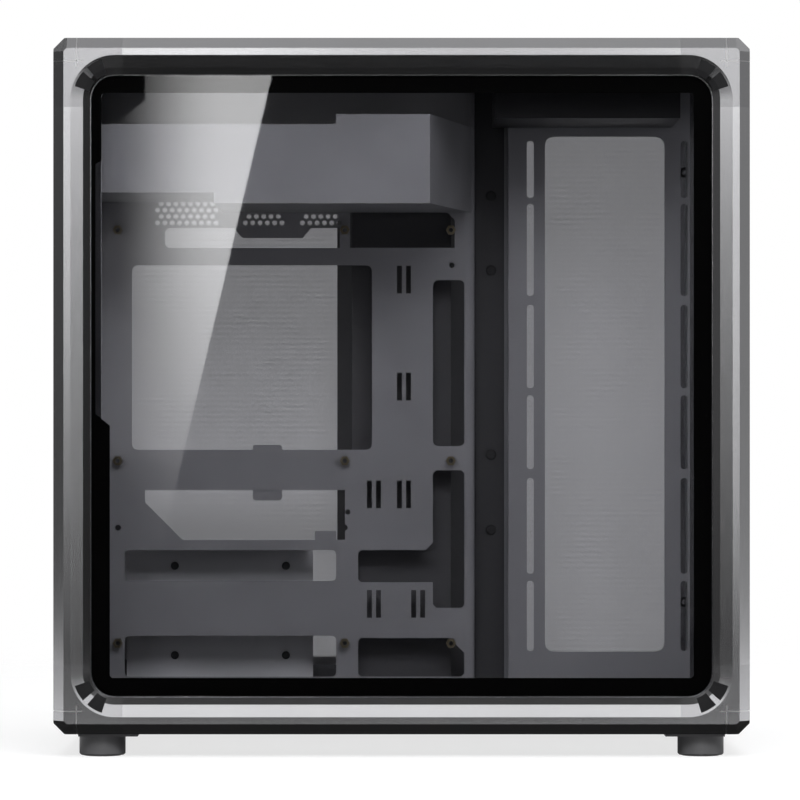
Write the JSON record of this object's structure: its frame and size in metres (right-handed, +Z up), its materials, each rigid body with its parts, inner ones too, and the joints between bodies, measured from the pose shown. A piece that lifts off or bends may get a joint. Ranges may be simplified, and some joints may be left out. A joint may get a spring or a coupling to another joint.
{
  "type": "mid-tower computer case",
  "caption": "Square mid-tower computer case with an outer aluminium rail frame, tinted glass side, top shroud, steel board tray with cable openings and a slotted side fan bracket.",
  "frame": {"origin": "middle of the footprint on the floor", "axes": "+X to the front of the case, +Y to the cable side, -Y to the glass side, +Z up"},
  "size_m": [0.45, 0.29, 0.465],
  "materials": {
    "frame_aluminium": "anodised, fine brushed",
    "corner_alloy": "metallic paint on a cast block, satin",
    "tinted_glass": "tinted, polished, with a black printed border",
    "stud_steel": "polished",
    "light_panel": "light grey, satin",
    "filter_mesh": "fine nylon mesh in a plastic frame",
    "foot_plastic": "fine texture",
    "pad_rubber": "matte",
    "standoff_brass": "machined",
    "cover_steel": "powder coat",
    "screw_steel": "black oxide",
    "inner_steel": "grey powder coat",
    "black_plastic": "fine texture",
    "board_laminate": "solder mask",
    "socket_shell": "plated",
    "tongue_plastic": "moulded",
    "switch_plastic": "moulded",
    "button_aluminium": "turned face",
    "dark_steel": "dark grey powder coat"
  },
  "bodies": {
    "chassis": {"rail_top_left": "frame_aluminium", "rail_top_right": "frame_aluminium", "rail_bottom_left": "frame_aluminium", "rail_bottom_right": "frame_aluminium", "rail_front_top": "frame_aluminium", "rail_front_bottom": "frame_aluminium", "rail_rear_top": "frame_aluminium", "rail_rear_bottom": "frame_aluminium", "post_front_left": "frame_aluminium", "post_front_right": "frame_aluminium", "post_rear_left": "frame_aluminium", "post_rear_right": "frame_aluminium", "corner_front_top_left": "corner_alloy", "corner_front_top_right": "corner_alloy", "corner_rear_top_left": "corner_alloy", "corner_rear_top_right": "corner_alloy", "corner_front_bottom_left": "corner_alloy", "corner_front_bottom_right": "corner_alloy", "corner_rear_bottom_left": "corner_alloy", "corner_rear_bottom_right": "corner_alloy", "front_glass": "tinted_glass", "bottom_panel": "dark_steel", "rear_panel": "dark_steel", "psu_bracket": "dark_steel", "motherboard_tray": "dark_steel", "tray_edges": "dark_steel", "standoffs": "standoff_brass", "psu_shroud": "dark_steel", "fan_bracket": "dark_steel", "cable_channel": "inner_steel", "ssd_plate": "inner_steel", "foot_front_left": "foot_plastic", "foot_front_right": "foot_plastic", "foot_rear_left": "foot_plastic", "foot_rear_right": "foot_plastic", "foot_pads": "pad_rubber", "slot_cover_1": "cover_steel", "slot_cover_2": "cover_steel", "slot_cover_3": "cover_steel", "slot_cover_4": "cover_steel", "slot_cover_5": "cover_steel", "slot_cover_6": "cover_steel", "slot_cover_7": "cover_steel", "slot_screws": "screw_steel", "io_housing": "black_plastic", "io_bezel": "black_plastic", "io_board": "board_laminate", "usb_sockets": "socket_shell", "usb_tongues": "tongue_plastic", "audio_jack": "black_plastic", "power_switch": "switch_plastic", "thumbscrews": "screw_steel"},
    "glass_door": {"side_glass": "tinted_glass", "side_glass_studs": "stud_steel"},
    "cable_door": {"right_panel": "light_panel", "right_panel_studs": "stud_steel"},
    "roof": {"top_panel": "dark_steel", "top_filter": "filter_mesh"},
    "floor_filter": {"bottom_filter": "filter_mesh"},
    "button": {"power_button": "button_aluminium"}
  },
  "joints": [
    {"name": "glass_pull_off", "type": "slide", "parent": "chassis", "child": "glass_door", "axis": [0, -1, 0], "range_m": [0, 0.12]},
    {"name": "panel_pull_off", "type": "slide", "parent": "chassis", "child": "cable_door", "axis": [0, 1, 0], "range_m": [0, 0.12]},
    {"name": "roof_lift_off", "type": "slide", "parent": "chassis", "child": "roof", "axis": [0, 0, 1], "range_m": [0, 0.1]},
    {"name": "filter_drop", "type": "slide", "parent": "chassis", "child": "floor_filter", "axis": [0, 0, -1], "range_m": [0, 0.012]},
    {"name": "power_press", "type": "slide", "parent": "chassis", "child": "button", "axis": [0, 0, -1], "range_m": [0, 0.0012], "stiffness_N_per_m": 600, "springref_m": -0.0005}
  ]
}
